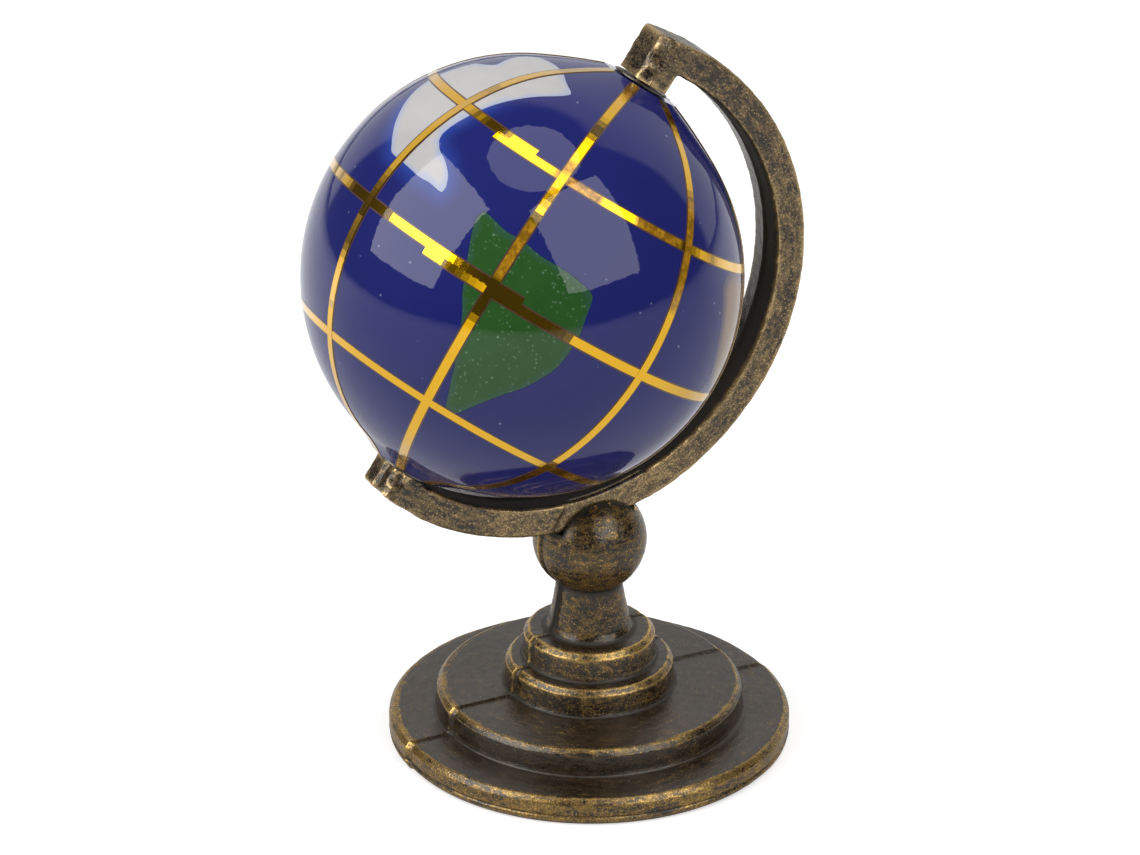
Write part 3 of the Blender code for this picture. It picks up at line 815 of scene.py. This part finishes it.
def build_foot(brass):
    """One revolved shell whose back half stands off from the front half at the mould line."""
    columns, profile = mould_columns(140), foot_profile()
    points = []
    for p in profile:
        shift = Vector((MOULD_SHIFT.x, 0.0, MOULD_SHIFT.z if p.y > 1e-6 else 0.0))
        points += [Vector((p.x * math.cos(angle), p.x * math.sin(angle), p.y)) + shift * weight
                   for angle, weight in columns]
    foot = new_mesh_object("foot_cast", points, tube_faces(len(profile), len(columns), capped=False))
    weld(foot, 1e-7)
    depth, reach = ARM_HALF_DEPTH + SLOT_GAP, ARM_OUTER + SLOT_GAP
    disc = lathe([(0.0, -depth), (reach, -depth), (reach, depth), (0.0, depth)], 720,
                 lambda x, y, z: ARM_CENTRE + Vector((x, z, y)), closed=False)
    cut_away(foot, new_mesh_object("slot", *disc))
    return finish_casting(foot, "foot", brass, (0.045, 0.030, 5.0), foot_wear_and_painted_light, foot_flow)


def finish_casting(obj, node, brass, roughness, rub_and_painted_light, flow):
    """Cast grain, the attributes that its finish reads, and its place in the model."""
    roughen(obj, *roughness)
    wear_attributes(obj)
    float_attribute(obj, "rub_and_painted_light", [rub_and_painted_light(v.co / MM, v.normal) for v in obj.data.vertices])
    layer = obj.data.attributes.new("flow", "FLOAT_VECTOR", "POINT")
    places = [c * MM for vertex in obj.data.vertices for c in flow(vertex.co / MM)]
    layer.data.foreach_set("vector", places)
    shade(obj, 60)
    return place(obj, node, "stand", "antique_brass", brass)


def weld(obj, distance):
    bm = bmesh.new()
    bm.from_mesh(obj.data)
    bmesh.ops.remove_doubles(bm, verts=bm.verts, dist=distance)
    bmesh.ops.recalc_face_normals(bm, faces=bm.faces)
    bm.to_mesh(obj.data)
    bm.free()


def dent(obj, centre, reach, depth):
    """Press a shallow round hollow in the front of a casting."""
    for vertex in obj.data.vertices:
        away = (vertex.co / MM - centre).length / reach
        if away < 2.5:
            vertex.co.y += depth * MM * math.exp(-away * away)


def lumpy_posts(obj):
    """The arm's two ends were filed by hand: their front corner is knocked off unevenly."""
    for vertex in obj.data.vertices:
        p = vertex.co / MM
        from_ball = p - BALL_CENTRE
        across = from_ball.dot(ACROSS)
        share = smooth_step(12.3, 12.9, abs(from_ball.dot(AXIS))) * smooth_step(1.6, 1.2, abs(across))
        lump = noise.noise(p * 1.3) + 0.6 * noise.noise(p * 3.7)
        from_corner = across + POST_HALF_WIDTH + p.y + ARM_HALF_DEPTH
        cut = max(0.0, POST_CORNER_CUT + 0.25 * lump - from_corner)
        vertex.co += (ACROSS + Vector((0.0, 1.0, 0.0))) * 0.42 * cut * share * MM
        vertex.co -= vertex.normal * 0.07 * share * (0.5 + 0.5 * lump) * MM


def roughen(obj, swell, grain, seed):
    """Sink the surface inwards by soft and fine noise, in millimetres."""
    mesh = obj.data
    offset = Vector((seed, seed * 1.7, -seed))
    moved = []
    for vertex in mesh.vertices:
        p = vertex.co / MM
        soft = 0.5 + 0.5 * noise.noise(p * 0.45 + offset)
        fine = 0.5 + 0.5 * noise.noise(p * 2.6 - offset)
        moved.append(vertex.co - vertex.normal * (swell * soft + grain * fine) * MM)
    for vertex, co in zip(mesh.vertices, moved):
        if vertex.co.z > 1e-6:
            vertex.co = co


EDGE_CURVE, NOOK_CURVE = (0.35, 0.85), (0.25, 1.6)     # per mm: where each begins, and its span


def read_array(collection, key, width, kind=np.float64):
    values = np.empty(len(collection) * width, dtype=kind)
    collection.foreach_get(key, values)
    return values.reshape(-1, width)


def wear_attributes(obj, rounds=4):
    """edge: how convex the surface is; nook: how concave, both 0 to 1."""
    mesh = obj.data
    co = read_array(mesh.vertices, "co", 3) / MM
    normal = read_array(mesh.vertices, "normal", 3)
    a, b = read_array(mesh.edges, "vertices", 2, np.int64).T
    length = np.linalg.norm(co[a] - co[b], axis=1)
    bend = np.einsum("ij,ij->i", normal[a] - normal[b], co[a] - co[b]) / np.maximum(length, 0.02) ** 2
    total, weight = np.zeros(len(co)), np.zeros(len(co))
    for ends in (a, b):
        np.add.at(total, ends, bend * length)
        np.add.at(weight, ends, length)
    curve = total / np.maximum(weight, 1e-9)
    for _ in range(rounds):
        total, weight = curve.copy(), np.ones(len(co))
        for here, there in ((a, b), (b, a)):
            np.add.at(total, here, curve[there])
            np.add.at(weight, here, 1.0)
        curve = total / weight
    for name, value, (start, span) in (("edge", curve, EDGE_CURVE), ("nook", -curve, NOOK_CURVE)):
        float_attribute(obj, name, np.clip((value - start) / span, 0.0, 1.0))


def foot_wear_and_painted_light(p, normal):
    """How much bare brass shows: wear, and painted light on the knob's downward faces. Most on the rim,
    least on tier tops and the large tier's wall.
    """
    radius = math.hypot(p.x, p.y)
    if p.z > STEM_BOTTOM:
        # painted light: more bare brass on the knob's downward faces makes them lighter
        return 0.15 + 0.25 * max(0.0, -normal.z)
    if radius > 11.2:
        return 0.6
    if 8.3 < radius < 9.0 and p.z > 3.0:
        return 0.3
    if normal.z > 0.8 or radius > 8.0:
        return -0.6
    return -0.05


def foot_flow(p):
    """flow: where the grain is drawn from. Drawn out round the foot, with the seam at the back."""
    radius = 3.0 if p.z > STEM_BOTTOM else (11.5 if math.hypot(p.x, p.y) > 9.2 else 6.5)
    return Vector((math.atan2(p.x, -p.y) * radius * GRAIN_SQUEEZE, math.hypot(p.x, p.y), p.z))


def arm_flow(p):
    """Grain drawn out along the arm's circle."""
    out = p - ARM_CENTRE
    along = math.atan2(out.z, out.x) * 0.5 * (ARM_INNER + ARM_OUTER)
    return Vector((along * GRAIN_SQUEEZE, math.hypot(out.x, out.z), p.y))


def arm_wear_and_painted_light(p, normal):
    """The faces towards the front are worn most, the inside of the C hardly at all; low on the front, more
    bare brass is painted light.
    """
    out = (p - ARM_CENTRE).length
    worn = 0.42 if normal.y < -0.5 else 0.15
    if normal.dot(ARM_CENTRE - p) > 0.5 * out:
        worn = -1.1 if p.y < 0.3 else -0.4
    tip = smooth_step(12.3, 13.3, abs((p - BALL_CENTRE).dot(AXIS)))
    # painted light: more bare brass low on the front of the arm makes it lighter
    low = smooth_step(19.0, 15.5, p.z) if normal.y < -0.5 else 0.0
    return worn - 0.10 * tip + 0.35 * low


POST_STEPS, ARM_STEPS = 14, 300
ARM_EDGE_ROUND = 0.32


def circle_point(angle, radius):
    return ARM_CENTRE + Vector((radius * math.cos(angle), 0.0, radius * math.sin(angle)))


def post_crossing(side, radius, sign):
    """Where a post's inner (1) or outer (-1) edge meets a circle of the arm; sign is 1 for the top."""
    start = BALL_CENTRE + side * POST_HALF_WIDTH * ACROSS - ARM_CENTRE
    along = sign * AXIS
    b = start.dot(along)
    return ARM_CENTRE + start + along * (-b + math.sqrt(b * b - start.length_squared + radius ** 2))


def arm_rail(side, radius):
    """Points along the arm's inner (1) or outer (-1) side, tip to tip."""
    def post(sign, corner):
        tip = BALL_CENTRE + side * POST_HALF_WIDTH * ACROSS + sign * POST_TIP * AXIS
        return [tip.lerp(corner, i / POST_STEPS) for i in range(POST_STEPS)]

    def angle_of(p):
        return math.atan2(p.z - ARM_CENTRE.z, p.x - ARM_CENTRE.x)

    top, bottom = post_crossing(side, radius, 1), post_crossing(side, radius, -1)
    a, b = angle_of(top), angle_of(bottom)
    arc = [circle_point(a + (b - a) * i / ARM_STEPS, radius) for i in range(ARM_STEPS + 1)]
    return smooth_rail(post(1, top) + arc + post(-1, bottom)[::-1], 2)


def smooth_rail(points, rounds):
    """Round the rail's corners a little; its ends stay."""
    for _ in range(rounds):
        points = [points[0]] + [(p + 2 * q + r) / 4 for p, q, r in zip(points, points[1:], points[2:])] \
            + [points[-1]]
    return points


def arm_section():
    """Points round the bar: share across, push in mm off the rails, depth, share of the back half."""
    w, r = ARM_HALF_DEPTH, ARM_EDGE_ROUND
    across, corner = 10, 5
    ramp = [(-0.16, 0.0), (-0.05, 0.12), (0.05, 0.88), (0.16, 1.0)]
    straight = [0.16 + (w - r - 0.16) * i / 5 for i in range(1, 6)]
    ring = [(0.0, 0.0, depth, weight) for depth, weight in ramp]
    for sign, weight in ((1.0, 1.0), (-1.0, 0.0)):
        half = [(0.0, 0.0, sign * depth, weight) for depth in straight]
        for i in range(1, corner + 1):
            a = 0.5 * math.pi * i / corner
            half.append((0.0, r * (1 - math.cos(a)), sign * (w - r + r * math.sin(a)), weight))
        for i in range(1, across):
            half.append((i / across, r * (1 - 2 * i / across), sign * w, weight))
        for i in range(corner + 1):
            a = 0.5 * math.pi * (1 - i / corner)
            half.append((1.0, -r * (1 - math.cos(a)), sign * (w - r + r * math.sin(a)), weight))
        half += [(1.0, 0.0, sign * depth, weight) for depth in reversed(straight[:-1])]
        if sign > 0:
            ring += half + [(1.0, 0.0, -depth, 1.0 - part) for depth, part in ramp]
        else:
            ring += list(reversed(half))
    return ring


def build_arm(brass):
    inner, outer = arm_rail(1, ARM_INNER), arm_rail(-1, ARM_OUTER)
    ring = arm_section()
    points = []
    for row, (a, b) in enumerate(zip(inner, outer)):
        across = (b - a).normalized()
        middle = 0.5 * (a + b)
        saddle = smooth_step(3.0, 2.6, abs(middle.x - 0.1)) if middle.z < ARM_CENTRE.z else 0.0
        for share, push, depth, weight in ring:
            p = a.lerp(b, share) + across * push
            p.y = depth + (SADDLE_DEPTH * saddle if depth < -ARM_HALF_DEPTH + 0.3 else 0.0)
            mismatch = ARM_MISMATCH[0] + (ARM_MISMATCH[1] - ARM_MISMATCH[0]) * row / len(inner)
            points.append(p + MOULD_SHIFT * mismatch * weight)
    arm = new_mesh_object("meridian_arm_cast", points, tube_faces(len(inner), len(ring)))
    dent(arm, BALL_CENTRE + 15.0 * AXIS - 0.6 * ACROSS - Vector((0.0, ARM_HALF_DEPTH, 0.0)), 0.75, 0.16)
    lumpy_posts(arm)
    return finish_casting(arm, "meridian_arm", brass, (0.03, 0.05, 9.0), arm_wear_and_painted_light, arm_flow)


def build_washers():
    steel = plain_metal("steel", (0.10, 0.09, 0.08), (0.24, 0.22, 0.19), 0.36)
    (low, high), rim = WASHER_RANGE, WASHER_RADIUS - WASHER_EASE
    for name, sign in (("top_washer", 1), ("bottom_washer", -1)):
        section = [(AXLE_BORE, sign * low), (rim, sign * low), (WASHER_RADIUS, sign * (low + WASHER_EASE)),
                   (WASHER_RADIUS, sign * (high - WASHER_EASE)), (rim, sign * high),
                   (AXLE_BORE, sign * high)]
        washer = new_mesh_object(name + "_disc", *lathe(section, 96, on_globe))
        shade(washer, 30)
        place(washer, name, "stand", "steel", steel)
    rod = frame["nodes"]["axle_rod"]
    rod.data.materials.clear()
    rod.data.materials.append(steel)


# --- Studio ---
WHITE = (1.0, 1.0, 1.0)
LIGHT_DISTANCE = 500.0
FLOOR_RADIUS, FLOOR_SIDES, FLOOR_DROP = 620.0, 96, 0.02
FLOOR_SEEN, FLOOR_GLOW, FLOOR_BACK_LIFT = 0.55, 0.02, 0.30
WALL_MIDDLE, WALL_SPREAD, WALL_TOP, WALL_LEVEL = 170.0, 54.0, 56.0, 0.68    # angles in degrees
DARK_LEVEL = 0.045


def studio_direction(azimuth, elevation):
    """Both in degrees: azimuth 0 is towards the camera, and positive to the right of it."""
    a, e = math.radians(VIEW_AZIMUTH + azimuth), math.radians(elevation)
    return Vector((math.sin(a) * math.cos(e), -math.cos(a) * math.cos(e), math.sin(e)))


def looking_at(target, direction, distance, name, data):
    """A lamp or camera at a distance from the target, pointed back at it."""
    obj = bpy.data.objects.new(name, data)
    obj.location = (target + direction * distance) * MM
    obj.rotation_mode = "QUATERNION"
    obj.rotation_quaternion = direction.to_track_quat("Z", "Y")
    bpy.context.scene.collection.objects.link(obj)
    return obj


def softbox(name, azimuth, elevation, width, height, radiance, disk=False):
    """An area light facing the ball. Radiance is relative to a white floor."""
    data = bpy.data.lights.new(name, "AREA")
    data.shape = "DISK" if disk else "RECTANGLE"
    data.size = width * MM
    if not disk:
        data.size_y = height * MM
    area = (math.pi / 4 if disk else 1.0) * width * height * MM * MM
    data.energy = radiance * math.pi * area
    light = looking_at(BALL_CENTRE, studio_direction(azimuth, elevation), LIGHT_DISTANCE, name, data)
    light.visible_camera = False


def build_floor():
    turns = [TAU * i / FLOOR_SIDES for i in range(FLOOR_SIDES)]
    points = [Vector((0, 0, -FLOOR_DROP))] + [
        Vector((FLOOR_RADIUS * math.cos(a), FLOOR_RADIUS * math.sin(a), -FLOOR_DROP)) for a in turns]
    faces = [[0, 1 + i, 1 + (i + 1) % FLOOR_SIDES] for i in range(FLOOR_SIDES)]
    floor = new_mesh_object("floor", points, faces)
    floor.data.materials.append(floor_finish())


def camera_ray(n):
    return n.add("ShaderNodeLightPath").outputs["Is Camera Ray"]


def floor_finish():
    """Pale and evenly lit as seen, but dimmer in reflections and fading with distance."""
    n = new_material("pale_floor")
    where = n.object_place()
    far = n.step(n.vector_math("LENGTH", where), 0.20, 0.58)
    behind = n.vector_math("DOT_PRODUCT", where, studio_direction(190.0, 0.0))
    back_lift = n.times(n.step(behind, 0.0, 0.07), FLOOR_BACK_LIFT)
    seen = n.plus(n.times(far, 0.9), FLOOR_SEEN)
    mirrored = n.times(n.plus(back_lift, FLOOR_GLOW), n.minus(1.0, far))
    return n.out(Base_Color=n.mix(far, (0.68, 0.68, 0.68), (0.08, 0.08, 0.08)), Roughness=0.95,
                 Specular_IOR_Level=0.0, Emission_Color=WHITE,
                 Emission_Strength=n.blend(camera_ray(n), mirrored, seen))


def build_world():
    """Dark studio with a pale wall behind the object; the camera itself sees plain white."""
    world = bpy.data.worlds.new("studio")
    bpy.context.scene.world = world
    n = Nodes(world)
    n.tree.nodes.clear()
    direction = n.add("ShaderNodeTexCoord").outputs["Generated"]
    up = n.add("ShaderNodeSeparateXYZ", {0: direction}).outputs["Z"]
    towards = n.vector_math("DOT_PRODUCT", direction, studio_direction(WALL_MIDDLE, 0.0))
    level_part = n.math("SQRT", n.minus(1.0, n.times(up, up)))
    facing = n.math("DIVIDE", towards, n.larger(level_part, 0.001))

    def cosine(degrees):
        return math.cos(math.radians(degrees))

    wall = n.times(n.step(facing, cosine(WALL_SPREAD + 3), cosine(WALL_SPREAD - 3)),
                   n.step(up, math.sin(math.radians(WALL_TOP + 4)), math.sin(math.radians(WALL_TOP - 4))))
    level = n.plus(n.times(wall, WALL_LEVEL - DARK_LEVEL), DARK_LEVEL)
    mirrored, seen = (n.add("ShaderNodeBackground", {"Color": WHITE, "Strength": strength}).outputs[0]
                      for strength in (level, 1.0))
    shown = n.add("ShaderNodeMixShader", {0: camera_ray(n), 1: mirrored, 2: seen}).outputs[0]
    n.add("ShaderNodeOutputWorld", {"Surface": shown})


def build_studio():
    softbox("overhead", 60.0, 84.0, 360.0, 360.0, 1.85, disk=True)
    softbox("left_box", -68.0, 37.0, 430.0, 480.0, 3.45)
    softbox("right_box", 45.0, 38.0, 400.0, 460.0, 2.5)
    build_floor()
    build_world()


def build_camera():
    data = bpy.data.cameras.new("camera")
    data.lens, data.sensor_width = LENS, SENSOR
    data.clip_start, data.clip_end = 0.01, 10.0
    bpy.context.scene.camera = looking_at(VIEW_TARGET, studio_direction(0.0, VIEW_ELEVATION),
                                          VIEW_DISTANCE, "camera", data)
    bpy.context.scene.view_settings.view_transform = "Standard"


FOOT_BRASS = (0.26, 0.145, 0.032), (0.55, 0.35, 0.11), (0.72, 0.48, 0.16)      # dark, light, gold
ARM_BRASS = (0.24, 0.155, 0.070), (0.50, 0.37, 0.20), (0.70, 0.50, 0.24)


def main():
    build_globe()
    build_foils()
    build_foot(antique_brass("foot_brass", *FOOT_BRASS))
    build_arm(antique_brass("arm_brass", *ARM_BRASS))
    build_washers()
    build_studio()
    build_camera()


main()
